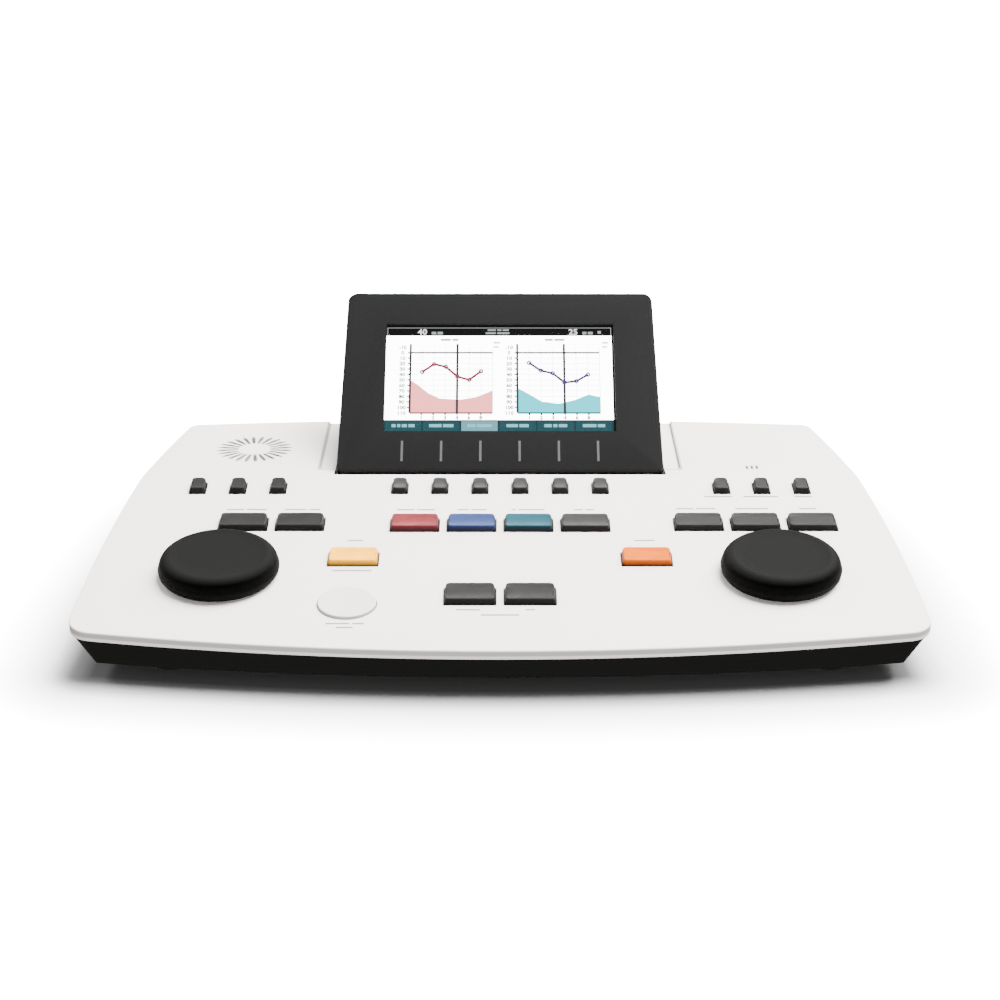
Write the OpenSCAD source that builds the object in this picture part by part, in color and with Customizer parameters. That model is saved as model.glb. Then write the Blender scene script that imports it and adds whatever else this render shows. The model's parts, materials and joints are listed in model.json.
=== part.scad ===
// Desktop audiometer: a low tilted key panel with two dials, and a display on a friction hinge.
// Millimetres. X right, Y to the rear, Z up. Origin at the centre of the whole object's footprint.
// The crease is the line across the top where the tilted key panel meets the level rear deck.

/* [Housing] */
// Width of the housing at its widest, near the front
body_w = 361; // [350:1:390]
// From the crease to the front edge, on the middle line
front_reach = 152.6; // [148:0.2:175]
// From the crease to the rear edge, on the middle line
rear_reach = 84; // [80:1:100]
// How far in front of the crease the housing is widest
widest_ahead = 160.8; // [120:0.2:170]
// Radius of the bowed sides
side_r = 1111; // [900:1:2000]
// Radius of the bowed front edge
front_r = 1033; // [800:1:2500]
// Radius of the bowed rear edge
rear_r = 1440; // [1000:1:3000]
// Radius of the two front corners
front_corner_r = 11; // [8:1:24]
// Radius of the two rear corners
rear_corner_r = 5; // [3:1:12]
// Height of the rear deck above the table
deck_h = 41; // [39:0.5:55]
// Slope of the key panel in degrees
panel_tilt = 7; // [4:0.5:8]

/* [Shells] */
// Thickness of the top cover
cover_t = 3; // [2:0.1:4]
// Height of the pale rim of the top cover
rim_h = 4; // [4:0.1:8]
// Thickness of the rim
rim_wall = 2.6; // [2:0.1:4]
// How far the base shell is set back under the rim
base_step = 0.6; // [0.4:0.1:2]
// How far the base shell draws in from its top to its bottom
base_taper = 9.2; // [4:0.2:12]
// Wall and floor of the base shell
base_wall = 2.5; // [2:0.1:4]
// Height of the base shell's screw posts above its floor
base_post_h = 7; // [6.5:0.1:8]
// Height of the feet
foot_h = 5.5; // [3:0.1:7]
// Radius of the feet
foot_r = 8; // [5:0.5:9]

/* [Display] */
// Width of the display housing at its lower edge
display_w = 155; // [140:1:156]
// Width of the display housing at its upper edge
display_top_w = 150; // [138:1:156]
// Height of the display housing along its slope
display_h = 101.8; // [96:0.1:115]
// Thickness of the display housing
display_t = 13; // [12.6:0.1:16]
// Slope of the display at rest, from the level
display_incline = 40; // [35:1:50]
// Radius of the display housing's upper corners
display_corner_r = 5; // [2:0.5:10]
// Radius of the display housing's lower corners
display_foot_r = 3.5; // [1.5:0.5:6]
// Width of the visible part of the panel
screen_w = 110.7; // [90:0.1:114]
// Height of the visible part of the panel
screen_h = 61; // [50:0.1:66]
// From the housing's lower edge to the visible part of the panel
screen_up = 22.2; // [20:0.1:25]
// Wall of the display housing
display_wall = 2; // [1.5:0.1:2.6]
// Depth of the front frame of the display housing
bezel_depth = 4; // [3.5:0.1:4.5]
// Frame in front of the window
bezel_t = 1.4; // [1:0.1:1.8]
// Thickness of the window
window_t = 1; // [0.8:0.1:1.5]
// Thickness of the display panel
lcd_t = 3.6; // [2.5:0.1:4]
// How far the panel's body stands out past its visible part, all round
lcd_border = 5; // [3:0.5:7]

/* [Display hinge] */
// Hinge axis behind the crease
pivot_back = 13.9; // [13.5:0.1:16]
// Hinge axis above the deck
pivot_up = 0.7; // [0.5:0.1:2]
// Hinge axis above the housing's lower edge, along its slope
pivot_in = 7; // [6:0.1:7]
// Hinge axis behind the housing's front face
pivot_deep = 7; // [6.8:0.1:7.2]
// Slope of the display when it is folded back
folded_incline = 10; // [8:1:20]
// Place of the two hinge ears, from the middle
ear_x = 60; // [40:1:63]
// Thickness of a hinge ear
ear_t = 3; // [2:0.5:4]
// Thickness of a hinge ear's foot
ear_foot_t = 2; // [1.5:0.1:2.5]
// Width of a hinge ear
ear_w = 7; // [6:0.5:7.5]
// Length of a hinge foot, across the object
ear_foot = 20; // [18:1:24]
// Radius of the hinge pins
hinge_pin_r = 2; // [1.5:0.1:2]
// Length of a hinge pin's hold on each side of its ear
pin_hold = 6; // [4:0.5:8]

/* [Display well] */
// Half width of the shallow step round the display
step_x = 86; // [83:0.5:92]
// From the crease to the front line of that step
step_front = 10.8; // [9:0.2:16]
// Depth of that step
step_d = 1.2; // [0.6:0.1:1.6]
// Corner radius of that step
step_r = 3.5; // [1:0.5:6]
// Gap between the display housing and the sides of its well
well_gap = 0.9; // [0.6:0.1:1.5]
// Wall of the tray under the well
well_wall = 2.2; // [1.8:0.1:3]

/* [Keys] */
// Width of a large key
key_w = 22; // [16:0.5:22.4]
// Depth of a large key
key_d = 12; // [9:0.5:12.5]
// Depth of the two front keys
store_d = 14; // [9:0.5:14.5]
// Width of a small key
soft_w = 7.5; // [6:0.1:12]
// Depth of a small key
soft_d = 10.8; // [7:0.1:11]
// Height of a large key above the panel
key_h = 3.2; // [2:0.1:5]
// Height of a small key above the panel
soft_h = 3.3; // [2:0.1:5]
// How far a key draws in from the panel to its top, on each side
key_draft = 0.8; // [0.2:0.1:1.2]
// Gap between a key and its opening
key_gap = 0.35; // [0.25:0.05:0.5]
// Travel of a key
key_travel = 1.2; // [0.6:0.1:1.4]
// Pitch of the large keys
key_pitch = 25.64; // [25.4:0.02:27]
// Pitch of the small keys
soft_pitch = 18.65; // [16:0.05:20]
// From the crease to the front line of the small keys
soft_ahead = 16.9; // [15:0.1:17.5]
// From the crease to the front line of the row of coloured keys
colour_ahead = 53.3; // [51:0.1:55]
// From the crease to the front line of the large keys at its sides
side_ahead = 52.5; // [51:0.1:54]
// From the crease to the front line of the yellow and orange keys
accent_ahead = 84.4; // [82:0.1:86]
// From the crease to the front line of the two front keys
store_ahead = 117.5; // [114:0.1:120]
// Place of the yellow and orange keys, from the middle
accent_x = 64.3; // [62:0.1:66]
// Outermost small key on the left, in from the widest side
left_soft_in = 39.9; // [38:0.1:42]
// Outermost small key on the right, in from the widest side
right_soft_in = 40.2; // [38:0.1:42]
// Outermost large key on the left, in from the widest side
left_key_in = 64.6; // [62:0.1:66]
// Outermost large key on the right, in from the widest side
right_key_in = 39.62; // [38:0.02:42]
// Place of the round key, from the middle to the left
round_x = 64.7; // [62:0.1:67]
// Place of the round key in front of the crease
round_ahead = 116.7; // [114:0.1:118]
// Radius of the round key
round_r = 12.5; // [10:0.1:13]
// Height of the round key above the panel
round_h = 1.4; // [1.3:0.1:3]

/* [Dials] */
// Radius of a dial
dial_r = 26.2; // [22:0.1:27]
// Height of a dial's top above the panel
dial_h = 10.5; // [9:0.1:16]
// Gap between a dial and the panel
dial_gap = 0.8; // [0.5:0.1:1.5]
// Rounding of a dial's top edge
dial_round = 4.5; // [2:0.1:6]
// Wall of a dial
dial_wall = 2.4; // [1.8:0.1:4]
// Roof of a dial
dial_roof = 3; // [2:0.1:4]
// Radius of a dial's shaft
shaft_r = 3; // [2.5:0.1:3.2]
// Radius of the threaded bush round the shaft
bush_r = 4.5; // [4.2:0.1:5.5]
// How far that bush stands above the panel
bush_up = 2; // [1.5:0.1:2.5]
// Width of an encoder's body
encoder_w = 14; // [12:0.5:16]
// Place of the dials, in from the widest side
dial_in = 59; // [56:0.1:61]
// Place of the dials in front of the crease
dial_ahead = 91.7; // [89:0.1:93]

/* [Sound] */
// Place of the loudspeaker, in from the widest side
speaker_in = 60.7; // [58.5:0.1:64]
// Place of the loudspeaker behind the crease
speaker_back = 39.4; // [36:0.1:44]
// Number of grille slits
slit_count = 24; // [16:1:28]
// Width of a grille slit
slit_w = 1.3; // [0.8:0.1:1.5]
// Inner radius of the ring of slits
slit_in = 8; // [7:0.5:10]
// Outer radius of the ring of slits
slit_out = 18.2; // [15:0.1:19]
// Radius of the loudspeaker's frame
speaker_r = 21; // [20:0.5:24]
// Depth of the loudspeaker
speaker_d = 15; // [12:0.5:20]
// Radius of the microphone capsule
mic_r = 4.8; // [4.5:0.1:6]
// Depth of the microphone capsule
mic_d = 5; // [4:0.5:8]
// Place of the microphone, in from the widest side
mic_in = 60.5; // [57:0.5:68]
// Place of the microphone behind the crease
mic_back = 13.6; // [12:0.2:20]
// Width of a microphone slot
mic_slot_w = 1.2; // [0.8:0.1:1.6]
// Length of a microphone slot
mic_slot_l = 4.6; // [3:0.1:5]
// Pitch of the microphone slots
mic_pitch = 2.35; // [2:0.05:2.6]

/* [Boards] */
// Thickness of the circuit boards
board_t = 1.6; // [1:0.1:2]
// From the panel's surface down to the key board
key_board_deep = 9; // [8.8:0.1:9.2]
// Thickness of the rubber mat over the key board
mat_t = 1; // [0.8:0.1:1.1]
// Height of a dome of that mat
dome_h = 0.8; // [0.5:0.1:0.9]
// Free height left under a pressed key
dome_gap = 0.3; // [0.2:0.05:0.5]
// From the widest side to the key board
key_board_in = 30.5; // [28.5:0.5:32.5]
// From the front edge to the key board, on the middle line
key_board_ahead = 19.6; // [18:0.2:22]
// Key board's rear edge in front of the crease
key_board_rear = 4; // [2:0.5:5]
// Width of the main board
main_board_w = 200; // [150:1:220]
// Depth of the main board
main_board_d = 92; // [80:1:94]
// Height of the main board above the base shell's floor
main_board_up = 6; // [5:0.1:7]
// Front edge of the main board in front of the crease
main_board_ahead = 66; // [62:0.5:70]
// From a corner of the main board to its screw
board_screw_in = 6; // [5:0.5:8]
// Width of the ribbon between the boards
ribbon_w = 20; // [12:1:30]
// Width of the display board
display_board_w = 100; // [90:1:110]
// Height of the display board
display_board_h = 50; // [44:1:54]

/* [Rear connectors] */
// Half width of the recess for the connectors
alcove_x = 95; // [92:0.5:98]
// Height of the rear wall above the recess
alcove_over = 5; // [4:0.5:6]
// Wall of the recess
alcove_lip = 2; // [1.5:0.1:2.5]
// From the crease to the face of the connector panel
connector_back = 68; // [66:0.1:69]
// Thickness of the connector panel
connector_t = 2; // [1.5:0.1:3]
// Middle of the row of headphone-size sockets, from the middle
jack_mid_x = 12; // [8:0.5:16]
// Number of headphone-size sockets
jack_count = 6; // [4:1:6]
// Pitch of the headphone-size sockets
jack_pitch = 20; // [19:0.5:21]
// Radius of a socket's bore, for a 6.35 mm plug
jack_bore_r = 3.25; // [3.2:0.01:3.4]
// Radius of a socket's threaded neck
jack_neck_r = 5; // [4.6:0.1:5.4]
// Length of a socket's body behind the panel
jack_body = 26; // [22:0.5:27]
// Width of a socket's body
jack_body_w = 15; // [13:0.5:15.5]
// Across the flats of a socket's nut
jack_nut_af = 14; // [12:0.5:15]
// Thickness of a socket's nut
jack_nut_t = 2.4; // [1.5:0.1:3]
// Width of the plate that holds the USB socket
usb_plate_w = 22; // [18:0.5:23]
// Width of the USB socket
usb_w = 12; // [11:0.1:13]
// Height of the USB socket
usb_h = 11; // [10:0.1:12]
// Width of its opening
usb_open_w = 8.6; // [8.4:0.1:9]
// Height of its opening
usb_open_h = 7.9; // [7.7:0.1:8.2]
// Place of the power inlet, from the middle to the other side
inlet_x = 75; // [70:0.5:78]
// Radius of the power inlet's neck
inlet_neck_r = 5; // [4.6:0.1:6]
// Radius of the power inlet's hole
inlet_r = 3.2; // [3:0.1:3.5]
// Radius of the power inlet's centre pin
inlet_pin_r = 1.05; // [1:0.05:1.25]

/* [Fasteners] */
// Radius of a base screw
base_screw_r = 1.5; // [1.25:0.05:2]
// Length of a base screw under its head
base_screw_l = 10; // [8:0.5:11]
// Radius of a small screw
small_screw_r = 1.25; // [1:0.05:1.3]
// Clearance round a screw, an inner part and a press-in part
fit_gap = 0.05; // [0.02:0.01:0.1]
// Radius of the posts that take screws
post_r = 4; // [3.5:0.1:4.5]

/* [Hidden] */
$fn = 64;
eps = 0.01;
big = 600;

half_w = body_w / 2;

// Heights above the table.
floor_z = foot_h + base_wall;
split_z = floor_z + base_post_h;
alcove_z = floor_z + alcove_lip;
alcove_h = deck_h - rim_h - alcove_z - alcove_over;
main_board_z = floor_z + main_board_up;

// The display's reach behind the crease, and the crease's place in the object's frame.
display_back_reach = pivot_back + (display_h - pivot_in) * cos(display_incline)
    + (display_t - pivot_deep) * sin(display_incline);
crease_y = (front_reach - max(rear_reach, display_back_reach)) / 2;

// Rear connectors.
frame_front = connector_back - connector_t - alcove_lip;
usb_x = alcove_x - usb_plate_w / 2;

// Depths in the display's own frame: y up its slope from the hinge axis, z out of its face.
face_n = pivot_deep;
back_n = pivot_deep - display_t;
part_n = face_n - bezel_depth;
window_n = face_n - bezel_t - window_t;
lcd_n = window_n - lcd_t;
display_board_n = back_n + display_wall + 1.2;
screen_y = screen_up - pivot_in + screen_h / 2;

// The display well: the housing's corner sweeps a circle round the hinge axis.
sweep_r = norm([pivot_in, pivot_deep]);
well_x = display_w / 2 + well_gap;
well_front = pivot_back - sweep_r - 0.5;
well_floor = pivot_up - sweep_r - 0.6 - ear_foot_t;
well_rear = pivot_back + sweep_r + 2;

// Depths in the key panel's frame: x right, y to the rear, z out of the panel.
mat_top = -key_board_deep + mat_t;
stem_end = mat_top + dome_h + key_travel + dome_gap;
flange_t = 0.9;
flange_top = -cover_t - 0.1;
flange_side = 1.2;
encoder_top = -cover_t - 1;

// Places of the keys in the key panel's frame: [x, y of the middle].
soft_y = soft_d / 2 - soft_ahead;
colour_y = key_d / 2 - colour_ahead;
side_y = key_d / 2 - side_ahead;
accent_y = key_d / 2 - accent_ahead;
store_y = store_d / 2 - store_ahead;
left_soft_x = left_soft_in - half_w;
right_soft_x = half_w - right_soft_in - 2 * soft_pitch;
left_key_x = left_key_in - half_w;
right_key_x = half_w - right_key_in - 2 * key_pitch;
round_at = [-round_x, -round_ahead, 0];

// Places that keep their distance from the sides.
dial_x = half_w - dial_in;
speaker_x = half_w - speaker_in;
mic_x = half_w - mic_in;
key_board_x = half_w - key_board_in;

// Colours.
red = [0.55, 0.2, 0.21];
blue = [0.2, 0.29, 0.5];
teal = [0.16, 0.33, 0.38];
grey = [0.2, 0.2, 0.2];
yellow = [0.93, 0.66, 0.32];
orange = [0.9, 0.45, 0.15];
pale = [0.86, 0.85, 0.83];
dark = [0.08, 0.08, 0.08];
steel = [0.6, 0.6, 0.62];
board_green = [0.1, 0.35, 0.2];

// Chips on the main board: [x, y from its front edge, width, depth, height].
chips = [[0, 42, 26, 26, 2.4], [48, 50, 16, 20, 2], [-50, 44, 20, 14, 3]];

// Places of screws, feet and posts on the right, [x, y] from the middle of the crease.
screw_spots = [[half_w - 22.5, 40.6 - front_reach], [half_w - 24.5, -22],
               [half_w - 42.5, rear_reach - 24]];
foot_spots = [[half_w - 40.5, 36.6 - front_reach], [half_w - 64.5, rear_reach - 31]];
key_post_spots = [[half_w - 37.5, -27], [half_w - 36.5, 26.6 - front_reach], [0, -82]];
main_post_spots = [for (y = [board_screw_in, main_board_d - board_screw_in])
    [main_board_w / 2 - board_screw_in, y - main_board_ahead]];
board_posts = [for (s = [-1, 1])
    [display_board_w / 2 - 10, screen_y + s * (display_board_h / 2 - 6)]];
display_screw_spots = [[display_w / 2 - 5.5, 2.5], [display_top_w / 2 - 8.5, display_h - pivot_in - 6]];

// ---- Frames -----------------------------------------------------------------------------

module at_crease() translate([0, crease_y, deck_h]) children();
module on_panel() at_crease() rotate([panel_tilt, 0, 0]) children();
module on_display()
    at_crease() translate([0, pivot_back, pivot_up]) rotate([display_incline, 0, 0]) children();
module both_sides() {
    children();
    mirror([1, 0, 0]) children();
}
// A straight bar along X whose section is drawn in the Y-Z plane.
module along_x(length) rotate([90, 0, 90]) linear_extrude(length, center = true) children();
// A bar whose axis is X, centred on the origin.
module cylinder_x(r, length) rotate([0, 90, 0]) cylinder(r = r, h = length, center = true);
// A cylinder that points to the rear from the origin.
module cylinder_y(r, length) rotate([-90, 0, 0]) cylinder(r = r, h = length);
module box(size, at) translate([at[0] - size[0] / 2, at[1] - size[1] / 2, at[2]]) cube(size);

// ---- Outlines ---------------------------------------------------------------------------

// Where a circle of radius ra round a meets one of radius rb round b, on the left of a to b.
function meet(a, ra, b, rb) =
    let (d = norm(b - a), t = (ra * ra - rb * rb + d * d) / (2 * d),
         h = sqrt(max(0, ra * ra - t * t)), u = (b - a) / d)
    a + t * u + h * [-u[1], u[0]];
function heading(from, to) = atan2(to[1] - from[1], to[0] - from[0]);
// Points on an arc, without its last one.
function arc(c, r, from, to, n) =
    [for (i = [0:n - 1]) let (a = from + (to - from) * i / n) c + r * [cos(a), sin(a)]];
// The right half of the housing's plan, drawn in by d, from its front middle to its rear middle.
function half_plan(d) =
    let (cf = [0, front_r - front_reach], cr = [0, rear_reach - rear_r],
         cs = [body_w / 2 - side_r, -widest_ahead],
         rf = max(front_corner_r - d, 1), rr = max(rear_corner_r - d, 1),
         pf = meet(cf, front_r - d - rf, cs, side_r - d - rf),
         pr = meet(cs, side_r - d - rr, cr, rear_r - d - rr))
    concat(arc(cf, front_r - d, -90, heading(cf, pf), 12),
           arc(pf, rf, heading(cf, pf), heading(cs, pf), 8),
           arc(cs, side_r - d, heading(cs, pf), heading(cs, pr), 12),
           arc(pr, rr, heading(cs, pr), heading(cr, pr), 4),
           arc(cr, rear_r - d, heading(cr, pr), 90, 12),
           [cr + (rear_r - d) * [0, 1]]);
function plan_points(d) =
    let (half = half_plan(d), last = len(half) - 1)
    concat(half, [for (i = [last - 1:-1:1]) [-half[i][0], half[i][1]]]);
module plan(d = 0) polygon(plan_points(d));

function unit(v) = v / norm(v);
// The rounded corner at p between its neighbours a and b, on an outline that turns left.
function corner(p, a, b, r, n) =
    let (ua = unit(a - p), ub = unit(b - p), half = acos(ua * ub) / 2,
         c = p + unit(ua + ub) * r / sin(half), from = heading(c, p + ua * r / tan(half)))
    arc(c, r, from, from + 180 - 2 * half, n + 1);
module rounded(points, radii, n = 6)
    polygon([for (k = [0:len(points) - 1])
        each corner(points[k], points[(k + len(points) - 1) % len(points)],
                    points[(k + 1) % len(points)], radii[k], n)]);
// The display housing's outline, drawn in by d.
module display_outline(d = 0) {
    low = -pivot_in + d;
    high = display_h - pivot_in - d;
    wl = display_w / 2 - d;
    wh = display_top_w / 2 - d;
    rl = max(display_foot_r - d, 0.6);
    rh = max(display_corner_r - d, 0.6);
    rounded([[-wl, low], [wl, low], [wh, high], [-wh, high]], [rl, rl, rh, rh]);
}

// All that lies under the top surface lowered by d.
module below_top(d, y_reach = 300) at_crease() along_x(big)
    polygon([[-y_reach, -y_reach * tan(panel_tilt) - d], [0, -d], [y_reach, -d],
             [y_reach, -big], [-y_reach, -big]]);
// An upright column on a plan outline, from the table up.
module plan_column(d) at_crease() translate([0, 0, -deck_h]) linear_extrude(deck_h + 20) plan(d);
// A sheet of the plan outline that follows the top surface, d inside the edge and h under it.
module top_sheet(d, h, t) intersection() {
    plan_column(d);
    difference() {
        below_top(h);
        below_top(h + t);
    }
}

// ---- Housing ----------------------------------------------------------------------------

// The line behind which the folded display's back stays, g lower than needed.
function folded_line(y, g) = pivot_up + (y - pivot_back) * tan(folded_incline)
    + (back_n - 0.6 - g) / cos(folded_incline);
// The space that the display swings in, grown by g on every side.
module well_space(g = 0) {
    front = well_front - g;
    rear = well_rear + g;
    far = display_h - pivot_in;
    at_crease() along_x(2 * (well_x + g))
        polygon([[front, 30], [front, well_floor - g], [rear, well_floor - g],
                 [rear, folded_line(rear, g)], [far, folded_line(far, g)], [far, 30]]);
}
module well_step() at_crease() translate([0, 0, -step_d]) linear_extrude(20)
    rounded([[-step_x, step_front], [step_x, step_front], [step_x, 2 * rear_reach], [-step_x, 2 * rear_reach]],
            [step_r, step_r, step_r, step_r]);
module slits() at_crease() translate([-speaker_x, speaker_back, -cover_t - 1])
    for (i = [0:slit_count - 1]) rotate(360 * (i + 0.5) / slit_count)
        translate([slit_in, -slit_w / 2, 0]) cube([slit_out - slit_in, slit_w, cover_t + 2]);
module mic_slots() at_crease() for (i = [-1:1])
    box([mic_slot_w, mic_slot_l, cover_t + 2], [mic_x + i * mic_pitch, mic_back, -cover_t - 1]);
module key_openings() on_panel() {
    for (k = all_keys()) box([k[2] + 2 * key_gap, k[3] + 2 * key_gap, cover_t + 4],
                             [k[0], k[1], -cover_t - 2]);
    translate(round_at - [0, 0, cover_t + 2]) cylinder(r = round_r + key_gap, h = cover_t + 4);
    both_sides() translate([dial_x, -dial_ahead, -cover_t - 2])
        cylinder(r = bush_r + 0.3, h = cover_t + 4);
}
module cover_posts() {
    both_sides() for (p = screw_spots) at_crease()
        translate([p[0], p[1], split_z - deck_h]) cylinder(r = post_r, h = 60);
}
module cover_pilots() both_sides() for (p = screw_spots) at_crease()
    translate([p[0], p[1], split_z - deck_h - eps])
        cylinder(r = base_screw_r + fit_gap, h = base_screw_l - 2);
module key_board_posts() on_panel() for (p = key_posts())
    translate([p[0], p[1], -key_board_deep]) cylinder(r = 3.2, h = key_board_deep - cover_t + 1);
module key_board_pilots() on_panel() for (p = key_posts())
    translate([p[0], p[1], -key_board_deep - eps]) cylinder(r = small_screw_r + fit_gap, h = 5);
function key_posts() = concat(key_post_spots, [for (p = key_post_spots) if (p[0] > 0) [-p[0], p[1]]]);

module top_cover() color(pale) difference() {
    union() {
        difference() {
            top_sheet(0, 0, rim_h);
            intersection() {
                plan_column(rim_wall);
                below_top(cover_t);
            }
        }
        intersection() {
            cover_posts();
            below_top(cover_t - 0.5);
        }
        intersection() {
            key_board_posts();
            below_top(cover_t - 0.5);
        }
    }
    well_space();
    well_step();
    slits();
    mic_slots();
    key_openings();
    cover_pilots();
    key_board_pilots();
}

module base_outer() hull() {
    at_crease() translate([0, 0, foot_h - deck_h]) linear_extrude(0.2)
        plan(base_step + base_taper);
    top_sheet(base_step, rim_h, 0.2);
}
module base_inner() hull() {
    at_crease() translate([0, 0, floor_z - deck_h]) linear_extrude(0.2)
        plan(base_step + base_taper + base_wall);
    top_sheet(base_step + base_wall - 1, rim_h - 5, 0.2);
}
// The recess for the connectors in the rear wall, grown by g, from a depth to the rear.
module alcove(g, from) at_crease()
    translate([-alcove_x - g, from, alcove_z - g - deck_h])
        cube([2 * (alcove_x + g), 60, alcove_h + 2 * g]);
module base_screw_bores() both_sides() for (p = screw_spots) at_crease()
    translate([p[0], p[1], 0]) {
        translate([0, 0, foot_h - deck_h - 1]) cylinder(r = 2 * base_screw_r + 0.4, h = 4.5);
        translate([0, 0, foot_h - deck_h]) cylinder(r = base_screw_r + 0.3, h = 30);
    }
// All that stands above the base plate.
module above_plate() at_crease() translate([-big / 2, -big / 2, floor_z - deck_h]) cube(big);
// The gap in the shell's rear wall that the connector frame closes.
module frame_block() at_crease()
    translate([-alcove_x - alcove_lip, frame_front, floor_z - deck_h])
        cube([2 * (alcove_x + alcove_lip), big, big]);
module base_shell() color(dark) difference() {
    intersection() {
        base_outer();
        above_plate();
    }
    base_inner();
    frame_block();
}
module base_plate() color(dark) difference() {
    union() {
        difference() {
            base_outer();
            above_plate();
        }
        intersection() {
            base_inner();
            both_sides() for (p = screw_spots) at_crease()
                translate([p[0], p[1], -deck_h]) cylinder(r = post_r + 1, h = split_z);
        }
        main_board_posts();
    }
    base_screw_bores();
    main_board_pilots();
}
module connector_frame() color(dark) difference() {
    intersection() {
        base_outer();
        frame_block();
    }
    alcove(0, connector_back - connector_t);
    alcove(-alcove_lip, frame_front - 1);
}

module display_well() color(dark) difference() {
    intersection() {
        well_space(well_wall);
        below_top(cover_t);
    }
    well_space();
    hinge_screw_spots() translate([0, 0, -20]) cylinder(r = small_screw_r + 0.3, h = 30);
}
module feet() color([0.13, 0.13, 0.13]) both_sides() for (p = foot_spots) at_crease()
    translate([p[0], p[1], -deck_h]) cylinder(r = foot_r, h = foot_h);
module base_screws() color(steel) both_sides() for (p = screw_spots) at_crease()
    translate([p[0], p[1], foot_h + 3.5 - deck_h]) {
        difference() {
            translate([0, 0, -base_screw_r * 1.4])
                cylinder(r = 2 * base_screw_r, h = base_screw_r * 1.4);
            translate([0, 0, -base_screw_r * 1.4 - eps]) box([4 * base_screw_r, 0.8, 0.8], [0, 0, 0]);
        }
        cylinder(r = base_screw_r, h = base_screw_l);
    }

// ---- Boards, sound and connectors -------------------------------------------------------

module main_posts(z, h, r) both_sides() for (p = main_post_spots) at_crease()
    translate([p[0], p[1], z - deck_h]) cylinder(r = r, h = h);
module main_board_posts() main_posts(floor_z - 1, main_board_up + 1, 3);
module main_board_pilots() main_posts(floor_z + 0.5, main_board_up, small_screw_r + fit_gap);
module main_board() color(board_green) {
    difference() {
        at_crease() translate([-main_board_w / 2, -main_board_ahead, main_board_z - deck_h])
            cube([main_board_w, main_board_d, board_t]);
        main_posts(main_board_z - 1, board_t + 2, small_screw_r + 0.3);
    }
    at_crease() for (c = chips)
        box([c[2], c[3], c[4]], [c[0], c[1] - main_board_ahead, main_board_z + board_t - deck_h]);
}
module key_board_sheet(z, t, edge) on_panel()
    translate([-key_board_x + edge, key_board_ahead - front_reach + edge, z])
        cube([2 * (key_board_x - edge),
              front_reach - key_board_ahead - key_board_rear - 2 * edge, t]);
module key_board() color(board_green) difference() {
    key_board_sheet(-key_board_deep - board_t, board_t, 0);
    on_panel() for (p = key_posts()) translate([p[0], p[1], -key_board_deep - board_t - 1])
        cylinder(r = small_screw_r + 0.3, h = board_t + 2);
    on_panel() both_sides() translate([dial_x, -dial_ahead, -key_board_deep - board_t - 1])
        cylinder(r = shaft_r + 0.5, h = board_t + 2);
}
module key_mat() color([0.75, 0.75, 0.72]) difference() {
    union() {
        key_board_sheet(-key_board_deep, mat_t, 1);
        on_panel() for (k = all_keys()) translate([k[0], k[1], mat_top - eps])
            cylinder(r = 2.4, h = dome_h);
        on_panel() translate(round_at + [0, 0, mat_top - eps]) cylinder(r = 2.4, h = dome_h);
    }
    on_panel() for (p = key_posts()) translate([p[0], p[1], -key_board_deep - 1])
        cylinder(r = 3.6, h = mat_t + 2);
    on_panel() both_sides() box([encoder_w + 1, encoder_w + 1, 4], [dial_x, -dial_ahead, -key_board_deep - 1]);
}
module board_ribbon() color([0.7, 0.7, 0.68]) {
    top = key_board_deep + board_t;
    ahead = 0.6 * main_board_ahead;
    y0 = -ahead * cos(panel_tilt) + top * sin(panel_tilt);
    z0 = -ahead * sin(panel_tilt) - top * cos(panel_tilt) - 0.2;
    low = main_board_z + board_t - deck_h;
    at_crease() translate([-0.8 * main_board_w / 2, 0, 0]) along_x(ribbon_w)
        polygon([[y0, z0], [y0 + 5, z0], [y0 + 5, z0 - 0.5], [y0 + 0.5, z0 - 0.5],
                 [y0 + 0.5, low + 0.5], [y0 + 5, low + 0.5], [y0 + 5, low], [y0, low]]);
}

module speaker() color([0.25, 0.25, 0.26]) at_crease()
    translate([-speaker_x, speaker_back, -cover_t]) rotate_extrude()
        polygon([[0, -3], [speaker_r - 6, -1.2], [speaker_r - 3, -0.6], [speaker_r - 2, 0],
                 [speaker_r, 0], [speaker_r, -2], [speaker_r - 3, -2.4],
                 [12, 4 - speaker_d], [12, -speaker_d], [0, -speaker_d]]);
module microphone() color([0.15, 0.15, 0.15]) at_crease()
    translate([mic_x, mic_back, -cover_t - mic_d]) cylinder(r = mic_r, h = mic_d);

// A plate at the back of the recess, from one x to another.
module recess_plate(from, to) at_crease()
    translate([from + 0.1, connector_back - connector_t, alcove_z + 0.1 - deck_h])
        cube([to - from - 0.2, connector_t, alcove_h - 0.2]);
module connector_panel() color([0.2, 0.2, 0.21]) difference() {
    recess_plate(-alcove_x, alcove_x - usb_plate_w);
    for (x = jack_places()) at_alcove(x, -10) cylinder_y(jack_neck_r + 0.1, 20);
    at_alcove(-inlet_x, -10) cylinder_y(inlet_neck_r + 0.1, 20);
}
module usb_plate() color([0.2, 0.2, 0.21]) difference() {
    recess_plate(alcove_x - usb_plate_w, alcove_x);
    at_alcove(usb_x, 0) box([usb_w + 0.1, 20, usb_h + 0.1], [0, 0, -usb_h / 2 - 0.05]);
}
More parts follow.
